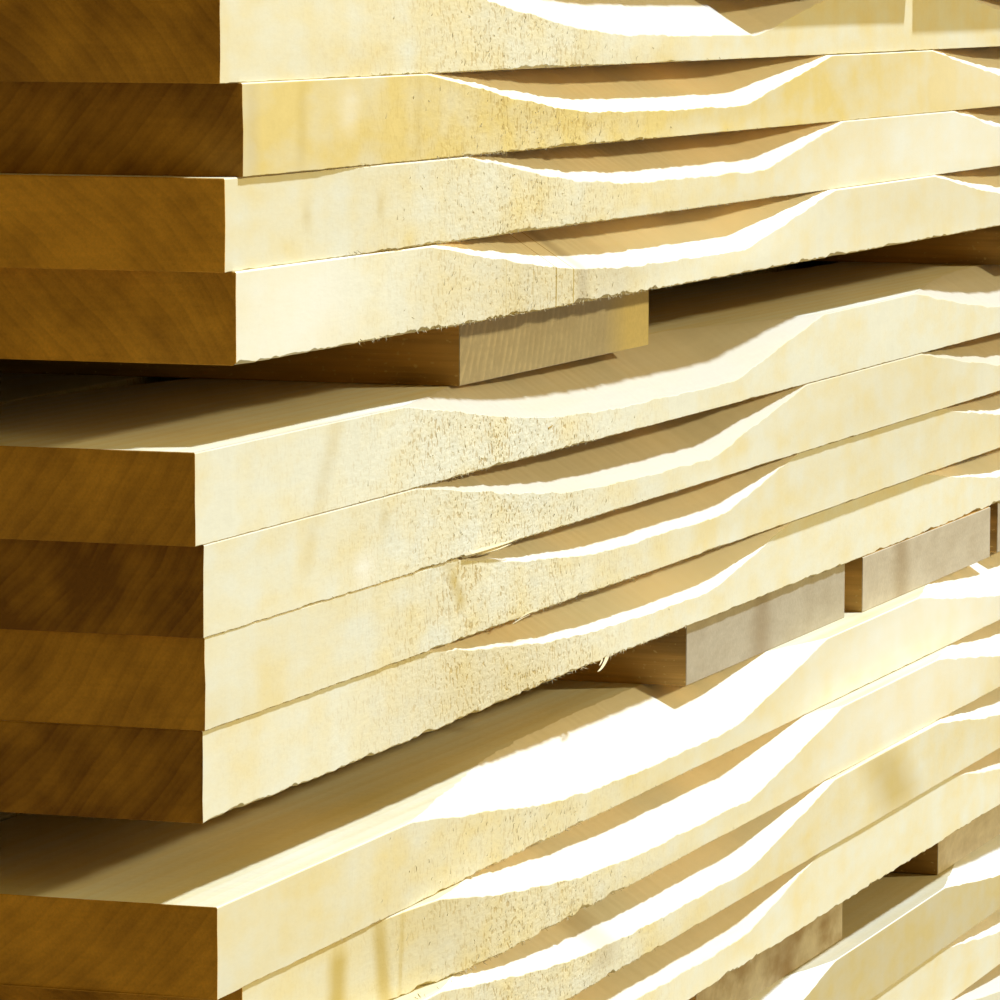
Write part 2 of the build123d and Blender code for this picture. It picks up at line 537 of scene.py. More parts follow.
def grid_mesh(parts, cap_kind):
    """Joins tubes of sections with flat ends into vertex, face and surface arrays."""
    vertices, quads, quad_kinds, caps, base = [], [], [], [], 0
    for points, kinds in parts:
        count, ring = points.shape[0], points.shape[1]
        vertices.append(points.reshape(-1, 3))
        row = np.arange(ring)
        nxt = (row + 1) % ring
        start = base + ring * np.arange(count - 1)[:, None]
        block = np.stack([start + row, start + nxt, start + ring + nxt, start + ring + row], axis=-1)
        quads.append(block.reshape(-1, 4)[:, ::-1])
        rows = np.tile(np.asarray(kinds), (count - 1, 1))
        rows[:2], rows[-2:] = cap_kind, cap_kind
        quad_kinds.append(rows.reshape(-1))
        caps.append(base + row)
        caps.append(base + ring * (count - 1) + row[::-1])
        base += count * ring
    return np.concatenate(vertices), np.concatenate(quads), np.concatenate(quad_kinds), caps


def make_object(name, parts, attributes, materials, cap_kind=END):
    """One joined object from tubes of sections, with its attributes and materials."""
    vertices, quads, kinds, caps = grid_mesh(parts, cap_kind)
    mesh = bpy.data.meshes.new(name)
    corners = np.concatenate([quads.reshape(-1)] + caps)
    totals = np.concatenate([np.full(len(quads), 4), [len(cap) for cap in caps]]).astype(np.int32)
    starts = np.concatenate([[0], np.cumsum(totals)[:-1]]).astype(np.int32)
    mesh.vertices.add(len(vertices))
    mesh.vertices.foreach_set("co", vertices.reshape(-1).astype(np.float32))
    mesh.loops.add(len(corners))
    mesh.loops.foreach_set("vertex_index", corners.astype(np.int32))
    mesh.polygons.add(len(totals))
    mesh.polygons.foreach_set("loop_start", starts)
    slots = np.concatenate([kinds, np.full(len(caps), cap_kind)]).astype(np.int32)
    mesh.polygons.foreach_set("material_index", slots)
    mesh.update(calc_edges=True)
    mesh.validate()
    mesh.polygons.foreach_set("use_smooth", np.ones(len(mesh.polygons), dtype=bool))
    mesh.set_sharp_from_angle(angle=SHARP_ANGLE)
    for key, (kind, values) in attributes.items():
        layer = mesh.attributes.new(key, kind, "POINT")
        layer.data.foreach_set("vector" if kind == "FLOAT_VECTOR" else "color", values.reshape(-1))
    for material in materials:
        mesh.materials.append(material)
    piece = bpy.data.objects.new(name, mesh)
    bpy.context.scene.collection.objects.link(piece)
    return piece


def mark_paint(node, board, x, z):
    """Brown and grey of the marks on a front board, at distances x and heights z."""
    brown, grey = np.zeros_like(x), np.zeros_like(x)
    for start, width, lean, low, high, brown_strength, grey_strength in MARKS.get(node, ()):
        middle = start + width / 2 + lean * (z - board.thick / 2)
        across = np.clip(1.25 - np.abs(x - middle) / (width / 2), 0, 1)
        share = z / board.thick
        along = np.clip((share - low) / MARK_BORDER + 0.5, 0, 1)
        along *= np.clip((high - share) / MARK_BORDER + 0.5, 0, 1)
        brown = np.maximum(brown, brown_strength * across * along)
        grey += grey_strength * across * along
    return brown, grey


def board_chance(sizes, number, place, column):
    """The seeded chance and noise of one board, the same each time that they are asked for."""
    rng = np.random.default_rng(sizes.seed + 1000 * number + 100 * place + column)
    return rng, Noise(rng)


def layer_piece(node, number, place, sizes, materials):
    """All boards of one layer as one joined object that stands for its CAD node."""
    parts, grains, tones, marks = [], [], [], []
    boards = boards_of(node)
    for column, board in enumerate(boards):
        rng, noise = board_chance(sizes, number, place, column)
        is_front = column == 0
        if is_front and node in FRONT_TONES:
            detail = "close"
        elif board.milled:
            detail = "plain"
        else:
            detail = "hidden"
        x = stations(board, sizes, detail)
        if is_front:
            x = with_mark_stations(node, x)
        section_points, kinds = section(board, x, sizes, noise, detail, is_free=place == LOWEST_LAYER)
        y = np.stack([point[0] for point in section_points], axis=1)
        z = np.stack([point[1] for point in section_points], axis=1)
        y, z = round_ends(x, board.length, sizes.arris, (y, board.width), (z, board.thick))
        along = x[:, None] + np.zeros_like(y)
        along = rough_ends(board, along, y, z, noise)
        if is_front and node in BOWS:
            along, y = bowed(node, along, y)
        points = np.stack([along, y, z], axis=-1) + board.low
        parts.append((points, kinds))
        tone = FRONT_TONES.get(node) if is_front else None
        if tone is None:
            tone = [rng.uniform(low, high) for low, high in OTHER_TONES]
        pith = pith_of(rng, is_front)
        offset = np.array([rng.uniform(0, 50), 0, 0])
        grains.append((np.stack([along, y - pith[0], z - pith[1]], axis=-1) + offset).reshape(-1, 3))
        tones.append(tone_along(tone, along.reshape(-1), is_front))
        paint = np.zeros((along.size, 4))
        # Blue: how dark the cut end is, painted shade on front boards and random tone on the others; alpha:
        # how bright the chamfers are
        paint[:, 2:] = tone[4:]
        if is_front:
            on_face = np.tile([kind in (EDGE, CHAMFER) for kind in kinds], len(x))
            on_face &= (y < board.width / 2).reshape(-1)
            brown, grey = mark_paint(node, board, along.reshape(-1), z.reshape(-1))
            brown, grey = brown * on_face, grey * on_face
            # Painted shade on the downward-facing torn bevel of the lower arris
            brown.reshape(along.shape)[:, kinds.index(EDGE) : kinds.index(EDGE) + 2] += TORN_ARRIS_SHADE
            paint[:, 0], paint[:, 1] = brown, grey
        marks.append(paint)
    attributes = {
        "grain": ("FLOAT_VECTOR", np.concatenate(grains)),
        "tone": ("FLOAT_COLOR", np.concatenate(tones)),
        "marks": ("FLOAT_COLOR", np.concatenate(marks)),
    }
    piece = make_object(f"base_boards_{number}_{place}", parts, attributes, materials)
    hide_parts(node)
    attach(piece, "root")
    return piece


def bowed(node, along, y):
    """Moves the near end of a bowed front board."""
    forward, longer, full, none = BOWS[node]
    share = np.clip((none - along) / (none - full), 0, 1)
    near = share * share * (3 - 2 * share)
    return along - longer * near, y - forward * near


def tone_along(tone, x, is_front):
    """Tone of a board at distances x, with its speckle strongest on the rough stretch."""
    values = np.tile(tone[:4], (len(x), 1))
    if is_front:
        values[:, 3] *= 0.06 + 0.94 * roughness_at(x)
    return values


def with_mark_stations(node, x):
    """Adds stations at the borders of narrow marks, so that they stay narrow."""
    extra = []
    for start, width, *_ in MARKS.get(node, ()):
        if width < NARROW_MARK:
            extra += [start - 0.15 * MM, start + 0.1 * MM, start + width / 2, start + width - 0.1 * MM]
            extra += [start + width + 0.15 * MM]
    return np.unique(np.concatenate([x, extra])) if extra else x


def pith_of(rng, is_front):
    """Where the middle of the log lay, seen on the board's end, from its low corner."""
    if is_front:
        return rng.uniform(0.10, 0.18), rng.choice([-1, 1]) * rng.uniform(0.08, 0.14)
    return rng.uniform(-0.05, 0.15), rng.choice([-1, 1]) * rng.uniform(0.03, 0.12)


def round_ends(along, length, arris, *measures):
    """Draws sections in a little at both ends, as a broken arris. A measure is values and their reach."""
    away = np.minimum(along, length - along)
    pull = (0.8 * arris * np.clip(1 - away / (0.9 * arris), 0, 1) ** 2)[:, None]
    return [np.clip(values, pull, reach - pull) for values, reach in measures]


def rough_ends(board, along, y, z, noise):
    """Lets the cut ends run slightly out of square and leaves them a little torn."""
    skew = 0.5 * MM * (1 + noise.along(y, 60 * MM, 50)) + 0.25 * MM * (1 + noise.along(z, 4 * MM, 52))
    share = along / board.length
    squeeze = np.where(share < 0.5, skew, -skew)
    fade = np.clip(1 - np.minimum(along, board.length - along) / (3 * MM), 0, 1)
    return along + squeeze * fade


class Nodes:
    """A node tree, with short names for the nodes that its colours and reliefs are made of."""

    def __init__(self, tree):
        self.tree = tree

    def feed(self, socket, value):
        """Links a socket or sets a plain value."""
        if isinstance(value, bpy.types.NodeSocket):
            self.tree.links.new(value, socket)
        else:
            socket.default_value = value

    def add(self, kind, *values, **settings):
        """A new node with its settings, its first inputs linked or set in their order."""
        node = self.tree.nodes.new(kind)
        for name, value in settings.items():
            setattr(node, name, value)
        for socket, value in zip(node.inputs, values):
            self.feed(socket, value)
        return node

    def stored(self, name, output):
        """A value that the mesh carries."""
        return self.add("ShaderNodeAttribute", attribute_name=name).outputs[output]

    def parts(self, name):
        """The four numbers of a colour that the mesh carries."""
        split = self.add("ShaderNodeSeparateColor", self.stored(name, "Color"))
        return (*split.outputs[:3], self.stored(name, "Alpha"))

    def math(self, operation, *values):
        return self.add("ShaderNodeMath", *values, operation=operation).outputs[0]

    def times(self, first, second):
        return self.math("MULTIPLY", first, second)

    def scaled(self, value, factor, base):
        """Base plus value times factor."""
        return self.math("MULTIPLY_ADD", value, factor, base)

    def spread(self, noise, strength, base):
        """Base plus or minus strength, from noise around 0.5, with more contrast."""
        return self.scaled(self.math("SUBTRACT", noise, 0.5), 2 * strength, base)

    def clamp(self, value):
        return self.math("MINIMUM", self.math("MAXIMUM", value, 0.0), 1.0)

    def ramp(self, value, low, high):
        """0 below low, 1 above high, and smooth between them."""
        node = self.add("ShaderNodeMapRange", value, low, high, interpolation_type="SMOOTHSTEP")
        return node.outputs["Result"]

    def blend(self, factor, first, second):
        """A colour between two that are sockets or plain values."""
        node = self.add("ShaderNodeMix", factor, data_type="RGBA")
        for place, colour in ((6, first), (7, second)):
            plain = not isinstance(colour, bpy.types.NodeSocket)
            self.feed(node.inputs[place], (*colour, 1) if plain else colour)
        return node.outputs[2]

    def bright(self, colour, amount):
        """Multiplies a colour by one number."""
        node = self.add("ShaderNodeVectorMath", colour, operation="SCALE")
        self.feed(node.inputs["Scale"], amount)
        return node.outputs[0]

    def noise(self, vector, scale, detail, roughness=0.5):
        node = self.add("ShaderNodeTexNoise", vector)
        for name, value in (("Scale", scale), ("Detail", detail), ("Roughness", roughness)):
            node.inputs[name].default_value = value
        return node.outputs

    def seen(self):
        """1 where the camera, a gloss or glass looks at a backdrop, 0 for the light that it gives."""
        path = self.add("ShaderNodeLightPath").outputs
        seen = self.math("MAXIMUM", path["Is Camera Ray"], path["Is Glossy Ray"])
        return self.math("MAXIMUM", seen, path["Is Transmission Ray"])


class Surface(Nodes):
    """A new material with its main shader."""

    def __init__(self, name, roughness):
        self.material = bpy.data.materials.new(name)
        self.material.use_nodes = True
        super().__init__(self.material.node_tree)
        self.shader = self.tree.nodes["Principled BSDF"]
        self.shader.inputs["Roughness"].default_value = roughness
        self.shader.inputs["Specular IOR Level"].default_value = 0.25

    def finish(self, colour, relief=None, strength=1.0, depth=0.1 * MM):
        """Gives the shader its colour and, where there is one, its relief."""
        self.feed(self.shader.inputs["Base Color"], colour)
        if relief is not None:
            node = self.add("ShaderNodeBump")
            node.inputs["Strength"].default_value = strength
            node.inputs["Distance"].default_value = depth
            self.feed(node.inputs["Height"], relief)
            self.feed(self.shader.inputs["Normal"], node.outputs["Normal"])
        return self.material


class Wood(Surface):
    """A material in the grain space of the board that it lies on."""

    def __init__(self, name, roughness):
        super().__init__(name, roughness)
        self.grain = self.stored("grain", "Vector")

    def cloud(self, scale, detail=2.0, roughness=0.5, vector=None):
        """Noise between 0 and 1 in a stretched space."""
        stretched = self.add("ShaderNodeMapping", self.grain if vector is None else vector)
        stretched.inputs["Scale"].default_value = scale
        return self.noise(stretched.outputs[0], 1.0, detail, roughness)["Fac"]

    def rings(self, width):
        """Growth rings round the pith: 0 in early wood, rising to 1 in the late wood of each ring."""
        split = self.add("ShaderNodeSeparateXYZ", self.grain).outputs
        square_y = self.math("POWER", split["Y"], 2.0)
        square_z = self.math("POWER", split["Z"], 2.0)
        radius = self.math("SQRT", self.math("ADD", square_y, square_z))
        bent = self.scaled(self.cloud((1.6, 22, 22)), 0.012, radius)
        turn = self.math("FRACT", self.math("DIVIDE", bent, width))
        return self.times(self.ramp(turn, 0.25, 0.85), self.ramp(turn, 1.0, 0.9))

    def curls(self, scale, width):
        """Thin curling lines, like loose fibres pressed on a sawn face."""
        warp = self.noise(self.grain, 260.0, 2.0)["Color"]
        shift = self.add("ShaderNodeVectorMath", warp, (5 * MM,) * 3, self.grain, operation="MULTIPLY_ADD")
        value = self.cloud(scale, 1.0, vector=shift.outputs[0])
        away = self.math("ABSOLUTE", self.math("SUBTRACT", value, 0.5))
        return self.ramp(away, width, 0.0)

    def marked(self, colour, colours):
        """Adds the brown, grey and pale marks of a board to its colour, and the painted shade on its torn
        lower arris.
        """
        brown, grey, _, _ = self.parts("marks")
        colour = self.blend(self.clamp(self.times(brown, 2.0)), colour, colours.mark)
        colour = self.blend(self.ramp(brown, 0.5, 1.0), colour, colours.stain)
        colour = self.blend(self.clamp(grey), colour, colours.grey)
        return self.blend(self.clamp(self.times(grey, -1.0)), colour, FRESH_WOOD)


def edge_wood(colours, sizes):
    """The narrow long faces as the frame saw left them: fuzzy, speckled, with upright saw marks."""
    wood = Wood("Sawn edge", 0.85)
    warmth, greyness, brightness, speckle = wood.parts("tone")
    patch = wood.cloud((26, 70, 70))
    broad = wood.cloud((46, 30, 8))
    blotch = wood.cloud((75, 190, 190))
    streak = wood.cloud((210, 60, 38))
    fuzz = wood.cloud((430, 1300, 1300), 1.5)
    lump = wood.cloud((160, 430, 430))
    warm = wood.spread(patch, 0.5, wood.spread(broad, 0.35, warmth))
    warm = wood.spread(blotch, 0.3, warm)
    colour = wood.blend(wood.clamp(warm), colours.pale, colours.warm)
    zone = wood.scaled(wood.ramp(patch, 0.36, 0.64), 0.6, 0.4)
    pores = wood.ramp(wood.cloud((700, 1100, 520), 1.5), 0.53, 0.66)
    spots = wood.ramp(wood.cloud((260, 110, 150)), 0.55, 0.75)
    amount = wood.scaled(spots, wood.scaled(pores, 0.5, 0.12), wood.times(pores, zone))
    amount = wood.times(wood.clamp(amount), speckle)
    colour = wood.blend(wood.times(amount, 0.72), colour, colours.speck)
    colour = wood.blend(wood.times(greyness, 0.8), colour, colours.grey)
    hairs = wood.times(wood.curls((300, 700, 700), 0.030), 0.15)
    colour = wood.blend(wood.times(hairs, speckle), colour, colours.pale)
    sharpness = wood.scaled(speckle, 0.9, 0.1)
    fine = wood.spread(lump, 0.08, wood.spread(streak, 0.10, wood.spread(fuzz, 0.16, 0.0)))
    light = wood.spread(broad, 0.05, wood.scaled(fine, sharpness, 1.0))
    light = wood.spread(blotch, 0.05, wood.spread(patch, 0.05, light))
    colour = wood.bright(colour, wood.times(light, brightness))
    relief = wood.scaled(fuzz, 0.6, wood.times(streak, 0.5))
    relief = wood.scaled(lump, 0.7, wood.scaled(amount, -0.9, relief))
    return wood.finish(wood.marked(colour, colours), wood.times(relief, sharpness), 1.0, 0.22 * MM)


def face_wood(colours, sizes):
    """The broad faces: band sawn, smoother, with the grain running along."""
    wood = Wood("Sawn face", 0.8)
    warmth, greyness, brightness, _ = wood.parts("tone")
    fibre = wood.cloud((9, 500, 500))
    patch = wood.cloud((6, 45, 45), 3.0)
    fuzz = wood.cloud((400, 900, 900), 1.0)
    saw = wood.cloud((330, 12, 12))
    warm = wood.spread(patch, 0.9, wood.scaled(warmth, 0.6, 0.1))
    colour = wood.blend(wood.clamp(warm), colours.pale, colours.warm)
    colour = wood.blend(wood.times(wood.rings(sizes.ring_width), 0.22), colour, colours.warm)
    colour = wood.blend(wood.times(greyness, 0.8), colour, colours.grey)
    light = wood.spread(fibre, 0.05, wood.spread(saw, 0.04, wood.spread(fuzz, 0.05, 1.0)))
    colour = wood.bright(colour, wood.times(light, brightness))
    relief = wood.scaled(fuzz, 0.5, wood.scaled(fibre, 0.5, wood.times(saw, 0.7)))
    return wood.finish(colour, relief, 0.5, 0.15 * MM)


def shaded_wood(colours, sizes):
    """Undersides and cross boards: brown sawn wood, kept dark as painted shade so that the gaps between the
    boards stay dark.
    """
    wood = Wood("Shaded brown sawn face", 0.85)
    fibre = wood.cloud((12, 700, 700), 3.0, 0.6)
    patch = wood.cloud((14, 60, 60), 3.0)
    specks = wood.ramp(wood.cloud((600, 900, 900), 1.5), 0.66, 0.72)
    # Painted shade: dark brown so that undersides and cross boards keep the gaps dark
    colour = wood.blend(wood.ramp(patch, 0.35, 0.7), colours.brown, colours.stain)
    colour = wood.blend(wood.times(specks, 0.5), colour, colours.warm)
    return wood.finish(wood.bright(colour, wood.spread(fibre, 0.3, 1.0)), fibre, 0.8, 0.3 * MM)


def milled_wood(colours, sizes):
    """The chamfer as the cutter left it: clean, pale, with fine knife marks across."""
    wood = Wood("Milled chamfer", 0.55)
    wood.shader.inputs["Specular IOR Level"].default_value = 0.6
    _, greyness, _, _ = wood.parts("tone")
    # Per-board brightness of the chamfers, as given in the last column of FRONT_TONES
    clean = wood.stored("marks", "Alpha")
    fibre = wood.cloud((12, 500, 500))
    knife = wood.cloud((190, 20, 20), 1.0)
    patch = wood.cloud((14, 80, 80), 3.0)
    fuzz = wood.cloud((400, 900, 900), 1.0)
    warm = wood.times(wood.ramp(patch, 0.42, 0.72), 0.15)
    colour = wood.blend(warm, colours.milled, colours.warm)
    colour = wood.blend(wood.clamp(wood.times(greyness, 7.0)), colour, FRESH_WOOD)
    light = wood.spread(fibre, 0.04, wood.spread(fuzz, 0.03, wood.spread(patch, 0.07, 1.0)))
    colour = wood.bright(colour, wood.times(light, clean))
    relief = wood.scaled(knife, 0.8, wood.times(fibre, 0.7))
    return wood.finish(wood.marked(colour, colours), relief, 0.3, 0.14 * MM)


def end_wood(colours, sizes):
    """Cut ends: dark end grain with faint growth rings and the scratches of the cross cut, darkened per
    board, on the front boards as painted shade.
    """
    wood = Wood("End grain", 0.9)
    _, _, dark, _ = wood.parts("marks")
    rings = wood.rings(sizes.ring_width)
    fine_rings = wood.rings(sizes.ring_width * 0.37)
    patch = wood.cloud((10, 60, 60), 3.0)
    pores = wood.cloud((100, 1500, 1500), 2.0, 0.7)
    scratch = wood.cloud((20, 60, 800))
    share = wood.scaled(rings, 0.10, wood.times(fine_rings, 0.05))
    # Darker ends per board; on front boards this is painted shade of ends that sit back behind their
    # neighbours'
    share = wood.spread(patch, 0.6, wood.scaled(dark, 0.75, share))
    colour = wood.blend(wood.clamp(share), colours.end_early, colours.end_late)
    colour = wood.bright(colour, wood.spread(pores, 0.22, wood.spread(scratch, 0.12, 1.0)))
    relief = wood.scaled(pores, 0.8, wood.times(scratch, 0.5))
    return wood.finish(colour, wood.scaled(rings, -0.2, relief), 0.6, 0.3 * MM)


def cross_end_wood(colours, sizes):
    """Ends of the cross boards: greyed, with pale ring lines and a yellow sapwood strip."""
    wood = Wood("Cross board end", 0.9)
    across, mottled, brightness, figure = wood.parts("tone")
    smudge, strip_start, _, _ = wood.parts("marks")
    sapwood = wood.clamp(wood.math("DIVIDE", wood.math("SUBTRACT", across, strip_start), STRIP_BORDER))
    away = wood.math("ABSOLUTE", wood.math("SUBTRACT", across, smudge))
    brown = wood.times(wood.ramp(away, SMUDGE_REACH, 0.0), 0.45)
    rings = wood.rings(sizes.ring_width * 1.1)
    rings = wood.times(rings, wood.ramp(wood.cloud((10, 130, 210)), 0.30, 0.60))
    rings = wood.times(rings, wood.clamp(wood.scaled(across, -1.2, 1.25)))
    patch = wood.cloud((10, 45, 90), 3.0)
    pores = wood.cloud((100, 900, 900), 1.0)
    scratch = wood.cloud((20, 90, 500), 1.0)
    pale = [min(1.0, value * 1.30) for value in colours.cross_end]
    colour = wood.blend(wood.times(rings, figure), colours.cross_end, pale)
    stain = wood.times(wood.ramp(patch, 0.34, 0.74), mottled)
    colour = wood.blend(stain, colour, colours.stain)
    colour = wood.blend(brown, colour, colours.stain)
    colour = wood.blend(wood.times(sapwood, 0.7), colour, colours.warm)
    light = wood.spread(pores, 0.09, wood.spread(scratch, 0.06, 0.97))
    colour = wood.bright(colour, wood.times(light, brightness))
    return wood.finish(colour, wood.math("ADD", pores, scratch), 0.4, 0.15 * MM)


def fibre_wood(name, colours, light):
    """Torn wood with a fine fibre."""
    wood = Wood(name, 0.7)
    fibre = wood.cloud((60, 2500, 2500))
    colour = wood.blend(fibre, colours.milled, colours.warm)
    return wood.finish(wood.bright(colour, light), fibre, 0.3, 0.1 * MM)


def splinter_wood(colours, sizes):
    """Short torn fibres, dull from the shade between them."""
    return fibre_wood("Torn fibre", colours, 0.66)


def long_splinter_wood(colours, sizes):
    """Long splinters, as bright as the fresh wood that they were torn from."""
    return fibre_wood("Long splinter", colours, 0.92)


def knot_wood(colours, sizes):
    """Dark knots: brown bark and resin."""
    wood = Wood("Knot", 0.8)
    return wood.finish(wood.blend(wood.cloud((900, 900, 900), 1.0), colours.stain, colours.speck))


MATERIALS = {}


def material_for(maker):
    """One material for each kind of surface, made once."""
    if maker.__name__ not in MATERIALS:
        settings = bpy.context.scene
        MATERIALS[maker.__name__] = maker(settings.board_colours, settings.board_sizes)
    return MATERIALS[maker.__name__]


def cross_piece(node, sizes, materials):
    """One cross board, its ends facing the front and back of the stack."""
    low, high = (np.array(corner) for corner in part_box(node))
    rng = np.random.default_rng(sizes.seed + sum(ord(letter) for letter in node))
    noise = Noise(rng)
    span, length, thick = high - low
    arris = sizes.arris
    ends = END_STEPS * arris
    inner = np.arange(CROSS_STEP / 2, length - CROSS_STEP / 2, CROSS_STEP)
    along = np.concatenate([ends, inner, length - ends[::-1]])
    outline = [(0.0, arris), (0.0, thick / 2), (0.0, thick - arris), (arris, thick)]
    outline += [(span * share, thick) for share in CROSS_SHARES]
    outline += [(span - arris, thick), (span, thick - arris), (span, thick / 2), (span, arris)]
    outline += [(span - arris, 0.0)]
    outline += [(span * share, 0.0) for share in CROSS_SHARES[::-1]] + [(arris, 0.0)]
    points = np.zeros((len(along), len(outline), 3))
    for place, (x, z) in enumerate(outline):
        inward = 0.4 * sizes.wander * (1 + noise.along(along, 40 * MM, place))
        on_side = min(x, span - x) < arris / 2
        points[:, -1 - place, 0] = x + (inward if x < span / 2 else -inward) * on_side
        points[:, -1 - place, 1] = along
        points[:, -1 - place, 2] = z
    sides, heights = (points[:, :, 0], span), (points[:, :, 2], thick)
    points[:, :, 0], points[:, :, 2] = round_ends(along, length, arris, sides, heights)
    pith = (rng.uniform(0.2, 0.8) * span, rng.choice([-1, 1]) * rng.uniform(0.04, 0.09))
    pith = CROSS_PITHS.get(node, pith)
    grain = np.stack([points[:, :, 1], points[:, :, 0] - pith[0], points[:, :, 2] - pith[1]], axis=-1)
    grain[:, :, 0] += rng.uniform(0, 50)
    strip_start, mottled, brightness, figure, smudge = CROSS_TONES.get(node, OTHER_CROSS_TONE)
    across = points[:, :, 0] / span
    plain = [np.full_like(across, value) for value in (mottled, brightness, figure)]
    tone = np.stack([across] + plain, -1)
    marks = np.stack([np.full_like(across, value) for value in (smudge, strip_start, 0, 1)], -1)
    attributes = {
        "grain": ("FLOAT_VECTOR", grain.reshape(-1, 3)),
        "tone": ("FLOAT_COLOR", tone.reshape(-1, 4)),
        "marks": ("FLOAT_COLOR", marks.reshape(-1, 4)),
    }
    parts = [(points + low, [FACE] * len(outline))]
    piece = make_object(f"{node}_sawn", parts, attributes, materials, cap_kind=1)
    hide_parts(node)
    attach(piece, "root")
    return piece


def sliver(start, tip, bow, width, segments=5):
    """A thin torn fibre as a tapering three-sided strip from start to tip, bowed by a vector."""
    start, tip, bow = (np.array(value, dtype=float) for value in (start, tip, bow))
    share = np.linspace(0, 1, segments + 1)
    spine = start + (tip - start) * share[:, None] + bow * (4 * share * (1 - share))[:, None]
    way = (tip - start) / np.linalg.norm(tip - start)
    across = np.cross(way, (0.0, -1.0, 0.0))
    across /= max(np.linalg.norm(across), 1e-6)
    out = np.cross(across, way)
    taper = 0.5 * width * (1 - share) ** 0.6 + 0.015 * MM
    corners = np.stack([across - 0.4 * out, -across - 0.4 * out, 0.8 * out])
    return spine[:, None, :] + corners[None] * taper[:, None, None]


def fringe(board, rng, start, length, count, hang):
    """Short fibres that hang from a stretch of the lower arris."""
    strips = []
    for _ in range(count):
        place = board.low[0] + start + length * rng.uniform()
        reach = (0.3 + rng.exponential(0.9)) * MM * rng.choice([-1, 1])
        drop = min(rng.exponential(0.35), 1.0) * hang
        root = (place, board.low[1] + 0.6 * MM, board.low[2] + rng.uniform(0.2, 1.4) * MM)
        tip = (place + reach, board.low[1] - rng.uniform(-0.2, 0.4) * MM, board.low[2] - drop)
        strips.append(sliver(root, tip, rng.normal(0, 0.15 * MM, 3), rng.uniform(0.12, 0.26) * MM, 2))
    return strips


def loose_fibres(board, rng, noise, sizes, count):
    """Fibres that the saw left lying on the long face, most of them upright."""
    strips = []
    for _ in range(count):
        x = abs(rng.normal(ROUGH_MIDDLE, 0.45 * ROUGH_SPAN))
        share = rng.uniform(0.08, 0.92)
        z = share * (board.thick - board.drop(x))
        surface = board.low[1] + float(face_behind(noise, sizes, x, share))
        turn = math.pi / 2 + rng.normal(0, 0.9)
        half = 0.5 * rng.uniform(0.6, 2.2) * MM
        ahead, rise = half * math.cos(turn), half * math.sin(turn)
        root = (board.low[0] + x - ahead, surface + 0.10 * MM, board.low[2] + z - rise)
        tip = (board.low[0] + x + ahead, surface - rng.uniform(0.0, 0.30) * MM, board.low[2] + z + rise)
        bow = (rng.normal(0, 0.3) * MM, -0.12 * MM, rng.normal(0, 0.3) * MM)
        strips.append(sliver(root, tip, bow, rng.uniform(0.10, 0.22) * MM, 3))
    return strips


def strip_piece(name, strips, materials, long_count=0):
    """One object from thin strips, the last of them with the second material."""
    attributes = {"grain": ("FLOAT_VECTOR", np.concatenate([strip.reshape(-1, 3) for strip in strips]))}
    short_count = len(strips) - long_count
    parts = [(strip, [int(place >= short_count)] * 3) for place, strip in enumerate(strips)]
    piece = make_object(name, parts, attributes, materials, cap_kind=0)
    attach(piece, "root")
    return piece


def splinter_piece(node, number, place, sizes, materials):
    """Torn fibres on the long face and along the lower arris of a front board, and its splinters."""
    board = boards_of(node)[0]
    _, noise = board_chance(sizes, number, place, 0)
    rng = np.random.default_rng(sizes.seed + 10 * number + place)
    strips = fringe(board, rng, *COMMON_FRINGE)
    strips += loose_fibres(board, rng, noise, sizes, LOOSE_FIBRES)
    for stretch in FRINGES.get(node, ()):
        strips += fringe(board, rng, *stretch)
    splinters = SPLINTERS.get(node, ())
    for distance, height, length, rise, out, bow, width in splinters:
        root = board.low + (distance, 0.3 * MM, height)
        strips.append(sliver(root, root + (length, -0.3 * MM - out, rise), (0, 0, bow), width, 16))
    low, high = (np.array(corner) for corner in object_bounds())
    inside = [np.clip(strip, low + 0.05 * MM, high - 0.05 * MM) for strip in strips]
    return strip_piece(f"splinters_{node}", inside, materials, len(splinters))


def knot_piece(node, material):
    """Small dark knots and pressed fibres that lie flush in the long face of a board."""
    board = boards_of(node)[0]
    strips = []
    for distance, height, length, rise, width in KNOTS[node]:
        root = board.low + (distance, 0.25 * MM, height)
        strips.append(sliver(root, root + (length, 0, rise), (0, 0, 0), width, 8))
    return strip_piece(f"knots_{node}", strips, [material])


def layer_nodes():
    """Layer nodes with their group and place, from the top of the stack down."""
    found = []
    for node in sorted(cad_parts):
        if node.startswith("group_"):
            _, number, _, place = node.split("_")
            found.append((node, int(number), int(place)))
    return found


class STACK_OT_base_boards(Operator):
    """Builds the base boards of every layer with their sawn and milled surfaces"""

    bl_idname = "stack.base_boards"
    bl_label = "Base boards"

    def execute(self, context):
        sizes = context.scene.board_sizes
        makers = (face_wood, edge_wood, milled_wood, end_wood, shaded_wood)
        materials = [material_for(maker) for maker in makers]
        for node, number, place in layer_nodes():
            layer_piece(node, number, place, sizes, materials)
        return {"FINISHED"}


class STACK_OT_cross_boards(Operator):
    """Builds the flat cross boards between the groups"""

    bl_idname = "stack.cross_boards"
    bl_label = "Cross boards"

    def execute(self, context):
        sizes = context.scene.board_sizes
        materials = [material_for(shaded_wood), material_for(cross_end_wood)]
        for node in sorted(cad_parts):
            if node.startswith("cross_board_"):
                cross_piece(node, sizes, materials)
        return {"FINISHED"}


